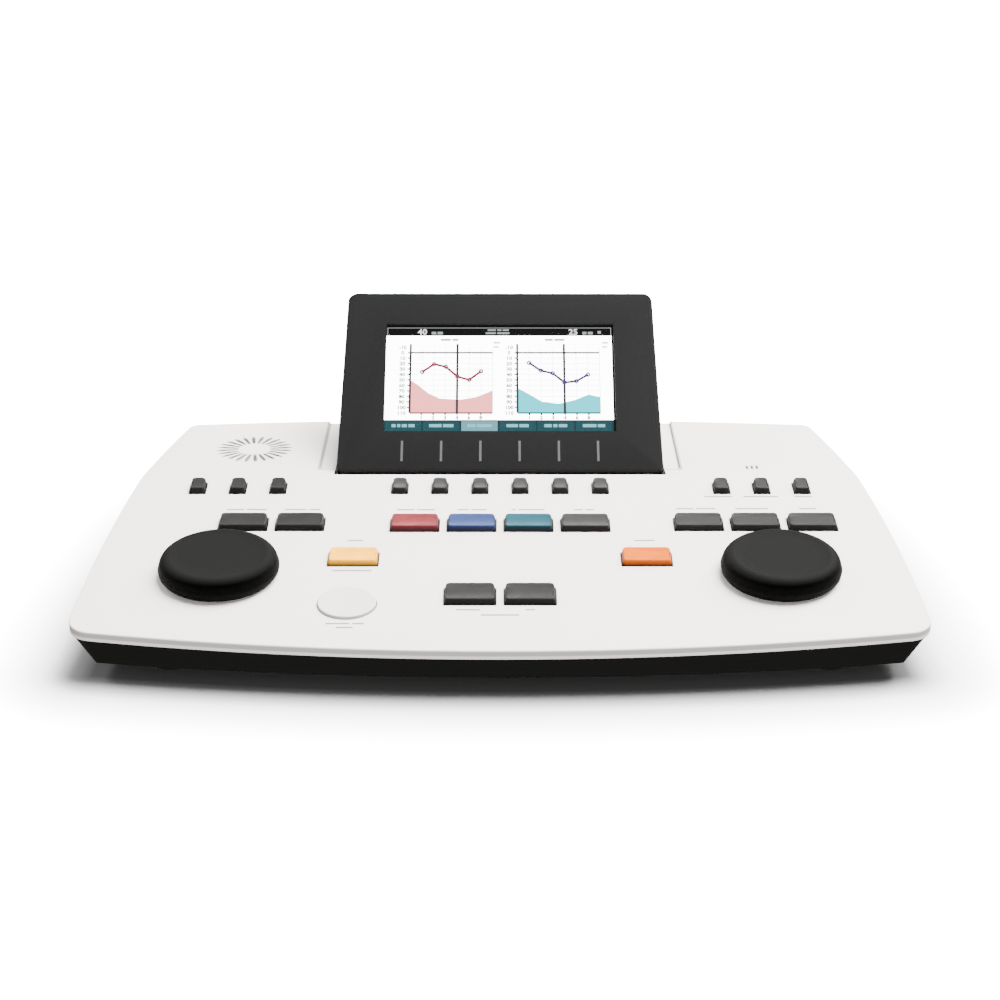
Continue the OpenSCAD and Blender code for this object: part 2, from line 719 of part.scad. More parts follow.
// The place at x on the connector panel's face, y behind it.
module at_alcove(x, y) at_crease()
    translate([x, connector_back + y, alcove_z + alcove_h / 2 - deck_h]) children();
function jack_places() = [for (i = [0:jack_count - 1]) jack_mid_x + (i - (jack_count - 1) / 2) * jack_pitch];
jack_neck = jack_nut_t + 1.2;
module jack_sockets() color([0.12, 0.12, 0.12]) for (x = jack_places()) at_alcove(x, 0) difference() {
    union() {
        translate([0, -connector_t - jack_body, 0])
            box([jack_body_w, jack_body, jack_body_w], [0, jack_body / 2, -jack_body_w / 2]);
        translate([0, -connector_t - 1, 0]) cylinder_y(jack_neck_r, connector_t + 1 + jack_neck);
    }
    translate([0, 2 - connector_t - jack_body, 0]) cylinder_y(jack_bore_r, 60);
}
module jack_nuts() color(steel) for (x = jack_places()) at_alcove(x, 0) difference() {
    rotate([-90, 30, 0]) cylinder(r = jack_nut_af / sqrt(3), h = jack_nut_t, $fn = 6);
    translate([0, -1, 0]) cylinder_y(jack_neck_r + fit_gap, 10);
}
module usb_socket() color(steel) at_alcove(usb_x, 0) difference() {
    translate([0, -connector_t - 14, 0])
        box([usb_w, connector_t + 14.5, usb_h], [0, (connector_t + 14.5) / 2, -usb_h / 2]);
    translate([0, -connector_t - 12, 0]) box([usb_open_w, 40, usb_open_h], [0, 20, -usb_open_h / 2]);
}
module power_inlet() color([0.12, 0.12, 0.12]) at_alcove(-inlet_x, 0) {
    difference() {
        union() {
            translate([0, -connector_t - 14, 0]) box([14, 14, 14], [0, 7, -7]);
            translate([0, -connector_t - 1, 0]) cylinder_y(inlet_neck_r, connector_t + 2);
        }
        translate([0, -connector_t - 11, 0]) cylinder_y(inlet_r, 30);
    }
    translate([0, -connector_t - 12, 0]) cylinder_y(inlet_pin_r, 12);
}

module small_screw(length) {
    cylinder(r = small_screw_r, h = length);
    difference() {
        translate([0, 0, -1.6]) cylinder(r = 2 * small_screw_r, h = 1.6);
        translate([0, 0, -1.6 - eps]) box([4 * small_screw_r, 0.6, 0.6], [0, 0, 0]);
    }
}
module small_screws() color(steel) {
    hinge_screw_spots() translate([0, 0, -well_wall]) small_screw(well_wall + ear_foot_t - 0.2);
    on_panel() for (p = key_posts())
        translate([p[0], p[1], -key_board_deep - board_t]) small_screw(board_t + 4);
    both_sides() for (p = main_post_spots) at_crease()
        translate([p[0], p[1], main_board_z + board_t - deck_h])
            mirror([0, 0, 1]) small_screw(board_t + 4.5);
}

// ---- Display hinge ----------------------------------------------------------------------

module hinge_screw_spots() both_sides() for (s = [-1, 1]) at_crease()
    translate([ear_x + s * (ear_foot / 2 - 3.5), pivot_back, well_floor]) children();
module hinge_brackets() color(steel) difference() {
    both_sides() at_crease() translate([ear_x, pivot_back, 0]) {
        translate([0, 0, pivot_up]) cylinder_x(ear_w / 2 + 0.8, ear_t);
        box([ear_t, ear_w, pivot_up - well_floor], [0, 0, well_floor]);
        box([ear_foot, ear_w + 3, ear_foot_t], [0, 0, well_floor]);
    }
    at_crease() translate([0, pivot_back, pivot_up]) cylinder_x(hinge_pin_r + fit_gap, big);
    hinge_screw_spots() translate([0, 0, -1]) cylinder(r = small_screw_r + fit_gap, h = 10);
}
module hinge_pins() color(steel) on_display() both_sides()
    translate([ear_x, 0, 0]) cylinder_x(hinge_pin_r, ear_t + 2 * pin_hold);

// ---- Display housing --------------------------------------------------------------------

ear_slot = ear_t + 0.8;
module ear_slots() both_sides() translate([ear_x - ear_slot / 2, -pivot_in - 1, back_n - 1])
    cube([ear_slot, pivot_in + 1 + ear_w / 2 + 1.4, part_n - back_n + 1]);
module display_box(d, from, to) translate([0, 0, from]) linear_extrude(to - from) display_outline(d);
module screen_window(grow, from, to)
    translate([-screen_w / 2 - grow, screen_y - screen_h / 2 - grow, from])
        cube([screen_w + 2 * grow, screen_h + 2 * grow, to - from]);
module display_posts(from, to, r) both_sides() for (p = display_screw_spots)
    translate([p[0], p[1], from]) cylinder(r = r, h = to - from);

module display_bezel() color(dark) on_display() difference() {
    union() {
        difference() {
            display_box(0, part_n, face_n);
            display_box(display_wall, part_n - 1, face_n - bezel_t);
        }
        display_posts(part_n, face_n - bezel_t + 0.2, 3);
    }
    screen_window(0.2, window_n, face_n + 1);
    display_posts(part_n - 1, face_n - bezel_t - 0.4, small_screw_r + fit_gap);
}
module display_back() color(dark) on_display() difference() {
    union() {
        difference() {
            display_box(0, back_n, part_n);
            display_box(display_wall, back_n + display_wall, part_n + 1);
        }
        display_posts(back_n, part_n, 3.4);
        both_sides() for (s = [-1, 1])
            translate([ear_x + s * (ear_slot / 2 + pin_hold / 2), -pivot_in / 2 + 3, back_n])
                box([pin_hold, pivot_in + 6, part_n - back_n], [0, 0, 0]);
        both_sides() for (p = board_posts) translate([p[0], p[1], back_n + 1])
            cylinder(r = 2.6, h = display_board_n - back_n - 1);
    }
    ear_slots();
    cylinder_x(hinge_pin_r + fit_gap, 2 * ear_x + ear_t + 2 * pin_hold + 1);
    display_posts(back_n - 1, part_n + 1, small_screw_r + 0.2);
    display_posts(back_n - 1, back_n + 1.8, 2 * small_screw_r + 0.2);
}
module display_window() color([0.3, 0.32, 0.34, 0.5]) on_display()
    screen_window(2.5, window_n, window_n + window_t);
module display_panel() color([0.75, 0.8, 0.82]) on_display() screen_window(lcd_border, lcd_n, window_n);
module display_board() color(board_green) on_display() {
    box([display_board_w, display_board_h, board_t], [0, screen_y, display_board_n]);
    box([0.3 * display_board_w, 0.5 * display_board_h, lcd_n - display_board_n - board_t],
        [0, screen_y, display_board_n + board_t]);
}
module display_screws() color(steel) on_display() both_sides() for (p = display_screw_spots)
    translate([p[0], p[1], back_n + 1.8]) small_screw(part_n - back_n - 1.8 + 2);

// ---- Dials ------------------------------------------------------------------------------

module encoder(side) color([0.5, 0.5, 0.52]) on_panel() translate([side * dial_x, -dial_ahead, 0])
    difference() {
        union() {
            box([encoder_w, encoder_w, encoder_top + key_board_deep], [0, 0, -key_board_deep]);
            translate([0, 0, encoder_top - 1]) cylinder(r = bush_r, h = 1 - encoder_top + bush_up);
        }
        translate([0, 0, -key_board_deep - 1]) cylinder(r = shaft_r + fit_gap, h = 30);
    }
module dial(side) color(dark) on_panel() translate([side * dial_x, -dial_ahead, 0]) {
    rim = dial_r - dial_round;
    difference() {
        rotate_extrude($fn = 96)
            polygon(concat([[0, dial_gap], [dial_r, dial_gap]],
                           arc([rim, dial_h - dial_round], dial_round, 0, 90, 8),
                           [[rim, dial_h], [0, dial_h]]));
        translate([0, 0, dial_gap - eps]) rotate_extrude()
            polygon([[shaft_r + 2.6, 0], [dial_r - dial_wall, 0],
                     [dial_r - dial_wall, dial_h - dial_round - dial_gap],
                     [rim - 1, dial_h - dial_roof - dial_gap],
                     [shaft_r + 2.6, dial_h - dial_roof - dial_gap]]);
        translate([0, 0, -1]) cylinder(r = shaft_r + fit_gap, h = dial_h - dial_roof + 2);
        translate([0, 0, -1]) cylinder(r = bush_r + 0.4, h = bush_up + 1.5);
    }
}
module dial_shaft(side) color(steel) on_panel() translate([side * dial_x, -dial_ahead, 0])
    translate([0, 0, 0.2 - key_board_deep])
        cylinder(r = shaft_r, h = key_board_deep + dial_h - dial_roof + 0.5);

// ---- Keys -------------------------------------------------------------------------------

// Each key: [x, y, width, depth, height].
function row(x0, pitch, n, y, w, d, h) = [for (i = [0:n - 1]) [x0 + i * pitch, y, w, d, h]];
soft_keys = row(-2.5 * soft_pitch, soft_pitch, 6, soft_y, soft_w, soft_d, soft_h);
left_small_keys = row(left_soft_x, soft_pitch, 3, soft_y, soft_w, soft_d, soft_h);
right_small_keys = row(right_soft_x, soft_pitch, 3, soft_y, soft_w, soft_d, soft_h);
colour_keys = row(-1.5 * key_pitch, key_pitch, 4, colour_y, key_w, key_d, key_h);
left_keys = row(left_key_x, key_pitch, 2, side_y, key_w, key_d, key_h);
right_keys = row(right_key_x, key_pitch, 3, side_y, key_w, key_d, key_h);
accent_keys = row(-accent_x, 2 * accent_x, 2, accent_y, key_w, key_d, key_h);
front_keys = row(-key_pitch / 2, key_pitch, 2, store_y, key_w, store_d, key_h);
function all_keys() = concat(soft_keys, left_small_keys, right_small_keys, colour_keys,
                             left_keys, right_keys, accent_keys, front_keys);
module key(k, paint) color(paint) on_panel() translate([k[0], k[1], 0]) {
    hull() {
        box([k[2], k[3], 0.5], [0, 0, 0]);
        box([k[2] - 2 * key_draft, k[3] - 2 * key_draft, 0.5], [0, 0, k[4] - 0.5]);
    }
    box([k[2], k[3], -flange_top + eps], [0, 0, flange_top]);
    box([k[2] + 2 * flange_side, k[3] + 2 * flange_side, flange_t], [0, 0, flange_top - flange_t]);
    translate([0, 0, stem_end]) cylinder(r = 2, h = flange_top - stem_end);
}
module round_key() color(pale) on_panel() translate(round_at) {
    translate([0, 0, flange_top]) cylinder(r = round_r, h = round_h - flange_top);
    translate([0, 0, flange_top - flange_t]) cylinder(r = round_r + flange_side, h = flange_t + eps);
    translate([0, 0, stem_end]) cylinder(r = 2, h = flange_top - stem_end);
}

top_cover();
base_shell();
base_plate();
display_well();
connector_frame();
connector_panel();
usb_plate();
main_board();
key_board();
key_mat();
board_ribbon();
speaker();
microphone();
encoder(-1);  // encoder_left
encoder(1);  // encoder_right
jack_sockets();
jack_nuts();
usb_socket();
power_inlet();
hinge_brackets();
feet();
base_screws();
small_screws();
dial(-1);  // dial_left
dial(1);  // dial_right
dial_shaft(-1);  // dial_shaft_left
dial_shaft(1);  // dial_shaft_right
display_bezel();
display_back();
display_window();
display_panel();
display_board();
display_screws();
hinge_pins();
round_key();
key(soft_keys[0], grey);  // soft_key_1
key(soft_keys[1], grey);  // soft_key_2
key(soft_keys[2], grey);  // soft_key_3
key(soft_keys[3], grey);  // soft_key_4
key(soft_keys[4], grey);  // soft_key_5
key(soft_keys[5], grey);  // soft_key_6
key(left_small_keys[0], grey);  // left_small_key_1
key(left_small_keys[1], grey);  // left_small_key_2
key(left_small_keys[2], grey);  // left_small_key_3
key(right_small_keys[0], grey);  // right_small_key_1
key(right_small_keys[1], grey);  // right_small_key_2
key(right_small_keys[2], grey);  // right_small_key_3
key(colour_keys[0], red);  // red_key
key(colour_keys[1], blue);  // blue_key
key(colour_keys[2], teal);  // teal_key
key(colour_keys[3], grey);  // grey_key
key(left_keys[0], grey);  // left_key_1
key(left_keys[1], grey);  // left_key_2
key(right_keys[0], grey);  // right_key_1
key(right_keys[1], grey);  // right_key_2
key(right_keys[2], grey);  // right_key_3
key(accent_keys[0], yellow);  // yellow_key
key(accent_keys[1], orange);  // orange_key
key(front_keys[0], grey);  // front_key_1
key(front_keys[1], grey);  // front_key_2
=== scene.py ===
import json
import math
import bmesh
import bpy
from mathutils import Matrix, Vector


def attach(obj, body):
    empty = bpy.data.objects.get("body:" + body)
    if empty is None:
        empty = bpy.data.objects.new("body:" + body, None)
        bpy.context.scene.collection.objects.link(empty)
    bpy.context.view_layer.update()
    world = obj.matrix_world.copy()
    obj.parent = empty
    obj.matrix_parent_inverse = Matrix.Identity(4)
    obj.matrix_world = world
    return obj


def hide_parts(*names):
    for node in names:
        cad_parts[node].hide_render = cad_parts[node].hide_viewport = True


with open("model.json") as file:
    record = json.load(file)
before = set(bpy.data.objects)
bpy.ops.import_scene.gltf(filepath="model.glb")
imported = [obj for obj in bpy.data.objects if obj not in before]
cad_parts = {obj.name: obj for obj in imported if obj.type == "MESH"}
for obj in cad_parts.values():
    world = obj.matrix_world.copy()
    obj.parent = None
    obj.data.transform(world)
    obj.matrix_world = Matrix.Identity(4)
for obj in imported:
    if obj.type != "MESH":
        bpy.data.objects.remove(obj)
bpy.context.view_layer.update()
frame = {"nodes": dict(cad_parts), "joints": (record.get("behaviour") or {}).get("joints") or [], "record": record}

# ---- The object's own frames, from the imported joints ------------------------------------

MM = 0.001
DISPLAY_SLOPE = math.radians(40)
HINGE_BEHIND_CREASE, HINGE_ABOVE_DECK = 13.9 * MM, 0.7 * MM
HINGE_TO_FACE, HINGE_TO_FOOT = 7 * MM, 7 * MM

joints = {joint["name"]: joint for joint in frame["joints"]}
hinge = Vector(joints["display_tilt"]["pos_m"])
panel_normal = Vector(joints["left_dial_turn"]["axis"])
panel_slope = math.atan2(-panel_normal.y, panel_normal.z)
crease = hinge - Vector((0, HINGE_BEHIND_CREASE, HINGE_ABOVE_DECK))

# The key panel: x right, y to the rear, z out of the panel, from the middle of the crease.
panel = Matrix.Translation(crease) @ Matrix.Rotation(panel_slope, 4, "X")
# The display: x right, y up its slope, z out of its face, from the hinge axis.
display = Matrix.Translation(hinge) @ Matrix.Rotation(DISPLAY_SLOPE, 4, "X")


# ---- Shader maths -----------------------------------------------------------------------

class Value:
    """A socket of a shader tree that sums are written with."""

    def __init__(self, finish, socket):
        self.finish, self.socket = finish, socket

    def sum(self, operation, *others):
        ends = dict(enumerate((self, *others)))
        return self.finish.node("ShaderNodeMath", {"operation": operation}, ends)[0]

    def __add__(self, other):
        return self.sum("ADD", other)

    def __sub__(self, other):
        return self.sum("SUBTRACT", other)

    def __mul__(self, other):
        return self.sum("MULTIPLY", other)

    def __rsub__(self, other):
        return (self * -1).sum("ADD", other)

    def over(self, low, high):
        """0 below low, 1 above high, and a straight ramp between."""
        ends = {"Value": self, "From Min": low, "From Max": high}
        return self.finish.node("ShaderNodeMapRange", {"clamp": True}, ends)[0]


class Finish:
    """A material made of nodes on Object coordinates."""

    def __init__(self, name, steep=0.35, flat=0.8):
        self.material = bpy.data.materials.new(name)
        self.material.use_nodes = True
        self.tree = self.material.node_tree
        self.tree.nodes.clear()
        coordinates = self.node("ShaderNodeTexCoord")
        self.place, facing = coordinates["Object"], coordinates["Normal"]
        self.level = self.parts(facing)[2].over(steep, flat)

    def node(self, kind, settings=None, ends=None):
        node = self.tree.nodes.new(kind)
        for key, setting in (settings or {}).items():
            setattr(node, key, setting)
        for key, end in (ends or {}).items():
            if isinstance(end, Value):
                self.tree.links.new(end.socket, node.inputs[key])
            else:
                node.inputs[key].default_value = end
        return Outputs(self, node)

    def parts(self, vector):
        """The x, y and z of a vector."""
        return self.node("ShaderNodeSeparateXYZ", {}, {"Vector": vector})

    def over_panel(self):
        """The height over the key panel's plane."""
        place = self.parts(self.place)
        return (place[1] - crease.y) * panel_normal.y + (place[2] - crease.z) * panel_normal.z

    def noise(self, per_metre, detail=2.0, roughness=0.5, place=None):
        ends = {"Vector": place or self.place, "Scale": per_metre, "Detail": detail,
                "Roughness": roughness}
        return self.node("ShaderNodeTexNoise", {}, ends)["Fac"]

    def mix(self, share, low, high):
        """A colour between two, each a colour or a socket."""
        ends = {"Factor": share, 6: low, 7: high}
        return self.node("ShaderNodeMix", {"data_type": "RGBA"}, ends)[2]

    def bump(self, height, depth):
        ends = {"Height": height, "Distance": depth, "Strength": 1.0}
        return self.node("ShaderNodeBump", {}, ends)["Normal"]

    def surface(self, **ends):
        names = {key.replace("_", " "): end for key, end in ends.items()}
        shader = self.node("ShaderNodeBsdfPrincipled", {}, names)["BSDF"]
        self.node("ShaderNodeOutputMaterial", {}, {"Surface": shader})
        return self.material


class Outputs:
    """A node's outputs by name or number, as values."""

    def __init__(self, finish, node):
        self.finish, self.node = finish, node

    def __getitem__(self, key):
        return Value(self.finish, self.node.outputs[key])


def tone(red, green, blue):
    """A linear colour from the 0 to 255 steps of a screen colour."""
    def linear(step):
        share = step / 255
        return share / 12.92 if share <= 0.04045 else ((share + 0.055) / 1.055) ** 2.4
    return (linear(red), linear(green), linear(blue), 1)


def darker(colour, share):
    return (*(part * share for part in colour[:3]), 1)


# ---- Finishes ---------------------------------------------------------------------------

def moulded(name, colour, rough, grain=900, depth=0.00003, cloud=0.04, worn=0.0, sheen=0.5,
            sides=1.0, steep=0.35, flat=0.8):
    """Moulded plastic: spark-eroded grain, a faint cloud in its colour, rubbed spots, and painted shade on steep
    side faces.
    """
    finish = Finish(name, steep, flat)
    broad = finish.noise(9, 3)
    fine = finish.noise(grain, 3, 0.6)
    rubbed = finish.noise(38, 4, 0.65).over(0.55, 0.75) * worn
    shade = finish.mix(broad.over(0.3, 0.7), darker(colour, 1 - cloud), darker(colour, 1 + cloud))
    shade = finish.mix(rubbed, shade, darker(colour, 1.5))
    # Painted shade: steep side faces take only this share of the colour.
    if sides < 1:
        shade = finish.mix(finish.level, darker(colour, sides), shade)
    return finish.surface(
        Base_Color=shade,
        Roughness=(fine - 0.5) * 0.16 + (broad - 0.5) * 0.06 + rubbed * -0.12 + rough,
        Specular_IOR_Level=sheen, Normal=finish.bump(fine, depth))


def cover_plastic(name, colour):
    """The pale cover: fine grain, painted shade at the grille, the step and the rim, and a painted highlight on
    the rim's lower edge.
    """
    finish = Finish(name)
    broad, fine = finish.noise(9, 3), finish.noise(1300, 3, 0.6)
    place = finish.parts(finish.place)
    # Painted shade on the upright walls behind the crease, at the step round the display.
    step = (1 - place[0].sum("ABSOLUTE").over(DARK_X, DARK_X + 1 * MM)) * (
        place[1].over(crease.y, crease.y + 1 * MM))
    x, y = place[0] - GRILLE.x, place[1] - GRILLE.y
    out = (x * x + y * y).sum("SQRT")
    ring = out.over(GRILLE_INNER, GRILLE_INNER + 2 * MM) * (
        1 - out.over(GRILLE_OUTER - 2 * MM, GRILLE_OUTER))
    # Painted shade in soft lobes round each slit of the grille.
    grille_petal_shade = (y.sum("ARCTAN2", x) * GRILLE_SLITS).sum("COSINE").over(0.85, -0.3) * ring
    # A painted shadow line along the step round the display, on the level faces.
    line = (place[0].sum("ABSOLUTE") - STEP_X).sum("MAXIMUM", STEP_FRONT - place[1])
    line = (1 - line.sum("ABSOLUTE").over(0.4 * MM, 1.1 * MM)) * finish.level
    # How far under the panel or the deck: the rim gets a grey strip of painted shade over a painted highlight on
    # its lower edge.
    under = (finish.over_panel() * -1).sum("MINIMUM", crease.z - place[2])
    walls = 1 - finish.level
    rim_shade_band = walls * under.over(0.4 * MM, 0.9 * MM) * (1 - under.over(2.4 * MM, 2.9 * MM))
    # A painted highlight along the rim's lower edge.
    lip = walls * under.over(2.5 * MM, 2.9 * MM)
    shade = finish.mix(broad, darker(colour, 0.985), darker(colour, 1.01))
    shade = finish.mix(grille_petal_shade * 0.9, shade, darker(colour, 0.24))
    shade = finish.mix(line * 0.8, shade, darker(colour, 0.3))
    shade = finish.mix(rim_shade_band, shade, darker(colour, 0.56))
    shade = finish.mix(lip, shade, darker(colour, 1.14))
    shade = finish.mix(step * walls * 0.8, shade, darker(colour, 0.2))
    return finish.surface(
        Base_Color=shade, Roughness=(fine - 0.5) * 0.16 + (broad - 0.5) * 0.06 + 0.5,
        Specular_IOR_Level=0.3, Normal=finish.bump(fine, 0.00002))


def satin_key(name, colour, sides=0.3, sheen=0.18):
    """A key cap: satin plastic, slightly polished by fingers, with side faces painted darker as shade, darkest at
    the panel.
    """
    finish = Finish(name)
    fine = finish.noise(2400, 2)
    touch = finish.noise(120, 3).over(0.4, 0.7)
    top = finish.mix(touch, darker(colour, 0.92), darker(colour, 1.06))
    # Painted shade on the side faces: darkest where they meet the panel, lighter towards the top.
    foot = finish.over_panel().over(0.3 * MM, 2.6 * MM)
    side = finish.mix(foot, darker(colour, sides * 0.15), darker(colour, sides * 1.5))
    return finish.surface(
        Base_Color=finish.mix(finish.level, side, top),
        Roughness=(fine - 0.5) * 0.1 + touch * -0.07 + (1 - finish.level) * 0.35 + 0.4,
        Specular_IOR_Level=sheen, Normal=finish.bump(fine, 0.00001))


def plated(name, colour, rough):
    """Plated or rolled metal with fine scratches along it."""
    finish = Finish(name)
    along = finish.node("ShaderNodeMapping", {}, {"Vector": finish.place, "Scale": (1, 12, 12)})[0]
    scratch = finish.noise(700, 4, 0.7, along)
    spots = finish.noise(260, 3).over(0.5, 0.8)
    return finish.surface(
        Base_Color=finish.mix(spots, colour, darker(colour, 0.8)),
        Metallic=1.0,
        Roughness=(scratch - 0.5) * 0.25 + spots * 0.1 + rough,
        Normal=finish.bump(scratch, 0.00001))


def lit(name, colour, strength=6.0):
    """Part of the lit panel: rows of picture cells with a slow change in brightness."""
    finish = Finish(name)
    cells = finish.node("ShaderNodeTexWave", {"bands_direction": "X"},
                        {"Vector": finish.place, "Scale": 1500, "Distortion": 0.0})["Fac"]
    glow = finish.noise(14, 1)
    share = cells * 0.05 + glow.over(0.2, 0.8) * 0.05
    return finish.surface(
        Base_Color=finish.mix(share, darker(colour, 0.25), darker(colour, 0.15)),
        Roughness=glow * 0.1 + 0.5, Specular_IOR_Level=0.1,
        Emission_Color=finish.mix(share, colour, darker(colour, 0.5)), Emission_Strength=strength)


def ink(name, colour):
    """Printed marks: matt ink with a slightly uneven cover."""
    finish = Finish(name)
    cover = finish.noise(1800, 3)
    return finish.surface(
        Base_Color=finish.mix(cover.over(0.3, 0.7), colour, darker(colour, 1.12)),
        Roughness=cover * 0.1 + 0.5)


def window_pane(name):
    """Clear window: faint reflections over the panel."""
    finish = Finish(name)
    smear = finish.noise(60, 3)
    return finish.surface(
        Base_Color=(0.02, 0.02, 0.02, 1), Roughness=smear * 0.06 + 0.05,
        Specular_IOR_Level=0.1, Alpha=smear * 0.01 + 0.03)


GRILLE = Vector((-119.8 * MM, crease.y + 39.4 * MM, 0))
GRILLE_SLITS = 24
GRILLE_INNER, GRILLE_OUTER = 7.5 * MM, 17.5 * MM
# Half the width in which steep walls behind the crease get painted shade, and the painted shadow line of the step
# round the display.
DARK_X = 88 * MM
STEP_X, STEP_FRONT = 86 * MM, crease.y + 10.8 * MM

COVER = cover_plastic("cover_plastic", tone(240, 234, 228))
BASE = moulded("base_plastic", tone(20, 19, 16), 0.6, 900, 0.00005, 0.1, 0.1, 0.08)
DISPLAY = moulded("display_plastic", tone(23, 23, 23), 0.55, 1300, 0.00003, 0.05, 0.05, 0.08)
# The dial's near-upright wall is painted almost black as shade; its top keeps the full colour.
DIAL = moulded("dial_plastic", tone(22, 22, 21), 0.7, 1600, 0.00003, 0.05, 0.05, 0.05,
               sides=0.02, steep=0.5, flat=0.97)
# The round key's side faces are painted darker as shade.
ROUND_KEY = moulded("round_key_plastic", tone(226, 217, 212), 0.45, 1300, 0.00002, 0.012, 0, 0.3,
                    sides=0.4)
WELL = moulded("well_plastic", tone(236, 230, 224), 0.55, 900, 0.00003)
RECESS = moulded("connector_plastic", tone(46, 46, 46), 0.55, 700, 0.00004, 0.06)
SOCKET = moulded("socket_plastic", tone(26, 26, 26), 0.4, 900, 0.00002, 0.08)
RUBBER = moulded("foot_rubber", tone(16, 16, 16), 0.85, 500, 0.00008, 0.12)
MAT = moulded("key_rubber", tone(190, 190, 184), 0.7, 600, 0.00004, 0.05)
BOARD = moulded("circuit_board", tone(20, 82, 48), 0.35, 420, 0.00003, 0.12)
RIBBON = moulded("ribbon_plastic", tone(176, 176, 170), 0.4, 800, 0.00002, 0.06)
CONE = moulded("speaker_plastic", tone(22, 22, 22), 0.6, 500, 0.00005, 0.15)
CLOTH = moulded("grille_cloth", tone(206, 203, 198), 0.9, 2600, 0.00008, 0.1, 0, 0.2)
STEEL = plated("fastener_steel", tone(196, 196, 198), 0.3)
HINGE_STEEL = plated("hinge_steel", tone(176, 177, 180), 0.34)
PLATED = plated("socket_metal", tone(206, 206, 206), 0.24)
LEGEND = ink("legend_ink", tone(128, 127, 126))
TICK = ink("tick_ink", tone(66, 66, 65))
PANE = window_pane("window_pane")
# Key colours, each with the share that sets the painted shade of its side faces.
KEY_FINISH = {
    "red": satin_key("key_red", tone(112, 42, 46), 0.32),
    "blue": satin_key("key_blue", tone(46, 61, 101), 0.24),
    "teal": satin_key("key_teal", tone(32, 71, 82), 0.18),
    "yellow": satin_key("key_yellow", tone(255, 178, 30), 0.5),
    "orange": satin_key("key_orange", tone(200, 92, 0), 0.45),
    "dark": satin_key("key_dark_grey", tone(37, 36, 35), 0.15),
    "grey": satin_key("key_grey", tone(49, 48, 47), 0.15),
    "middle": satin_key("key_middle_grey", tone(41, 40, 39), 0.15),
}


# ---- Making pieces ----------------------------------------------------------------------

def piece(name, bm, finish, body, stands_for=(), sharp=35):
    """A finished piece: smooth faces with creases over the sharp angle, riding on its body."""
    for face in bm.faces:
        face.smooth = True
    for edge in bm.edges:
        if len(edge.link_faces) == 2 and edge.calc_face_angle(0) > math.radians(sharp):
            edge.smooth = False
    mesh = bpy.data.meshes.new(name)
    bm.to_mesh(mesh)
    bm.free()
    mesh.materials.append(finish)
    obj = bpy.data.objects.new(name, mesh)
    bpy.context.scene.collection.objects.link(obj)
    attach(obj, body)
    if stands_for:
        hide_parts(*stands_for)
    return obj


def cad_copy(node):
    """A node's shape as clean flat faces, ready for its edges to be rounded."""
    bm = bmesh.new()
    bm.from_mesh(frame["nodes"][node].data)
    bmesh.ops.remove_doubles(bm, verts=bm.verts, dist=0.000004)
    bmesh.ops.dissolve_degenerate(bm, edges=bm.edges, dist=0.000002)
    bmesh.ops.dissolve_limit(bm, angle_limit=math.radians(0.6), verts=bm.verts, edges=bm.edges)
    return bm


def soften(bm, edges, radius, segments=3):
    """Rounds edges with a radius."""
    bmesh.ops.bevel(bm, geom=list(edges), offset=radius, offset_type="OFFSET",
                    affect="EDGES", segments=segments, profile=0.5, material=-1,
                    clamp_overlap=True)


def steep(edge, least=30):
    return len(edge.link_faces) == 2 and edge.calc_face_angle(0) > math.radians(least)


def add_box(bm, size, at, place, draft=0.0):
    """A box of a size, with its middle bottom at a point of a frame, drawn in at its top."""
    shape = bmesh.ops.create_cube(bm, size=1)["verts"]
    for vert in shape:
        drawn = draft if vert.co.z > 0 else 0
        vert.co.x *= size[0] - 2 * drawn
        vert.co.y *= size[1] - 2 * drawn
        vert.co.z = (vert.co.z + 0.5) * size[2]
    bmesh.ops.translate(bm, verts=shape, vec=Vector(at))
    bmesh.ops.transform(bm, matrix=place, verts=shape)
    return shape


def turned(profile, centre, place, steps=96):
    """A solid of revolution from [radius, height] points that start and end on the axis."""
    bm = bmesh.new()
    verts = [bm.verts.new((radius, 0, height)) for radius, height in profile]
    edges = [bm.edges.new(pair) for pair in zip(verts, verts[1:])]
    bmesh.ops.spin(bm, geom=verts + edges, cent=(0, 0, 0), axis=(0, 0, 1), angle=math.tau,
                   steps=steps, use_merge=True)
    bmesh.ops.remove_doubles(bm, verts=bm.verts, dist=0.000001)
    bmesh.ops.recalc_face_normals(bm, faces=bm.faces)
    bmesh.ops.translate(bm, verts=bm.verts, vec=Vector(centre))
    bmesh.ops.transform(bm, matrix=place, verts=bm.verts)
    return bm


def seen_in(node, place):
    """A node's corners in another frame."""
    back = place.inverted()
    return [back @ vert.co for vert in frame["nodes"][node].data.vertices]


def dress(finish, *nodes):
    """Gives CAD nodes that are right as they are their finish."""
    for node in nodes:
        mesh = frame["nodes"][node].data
        mesh.materials.clear()
        mesh.materials.append(finish)


# ---- Housing ----------------------------------------------------------------------------

def on_outline(bm, faces_out):
    """The outer walls of a convex plan: faces that no corner lies beyond."""
    walls = set()
    for face in faces_out:
        side = Vector((face.normal.x, face.normal.y, 0))
        if side.length < 0.5:
            continue
        side.normalize()
        reach = face.calc_center_median().dot(side)
        if all(vert.co.dot(side) < reach + 0.0012 for vert in bm.verts):
            walls.add(face)
    return walls


def top_cover():
    bm = cad_copy("top_cover")
    walls = on_outline(bm, bm.faces)
    upper = [edge for edge in bm.edges if steep(edge, 60)
             and any(face in walls for face in edge.link_faces)
             and any(face.normal.z > 0.9 for face in edge.link_faces)]
    soften(bm, upper, 1.5 * MM, 4)
    piece("cover_shell", bm, COVER, "chassis", ["top_cover"], 24)


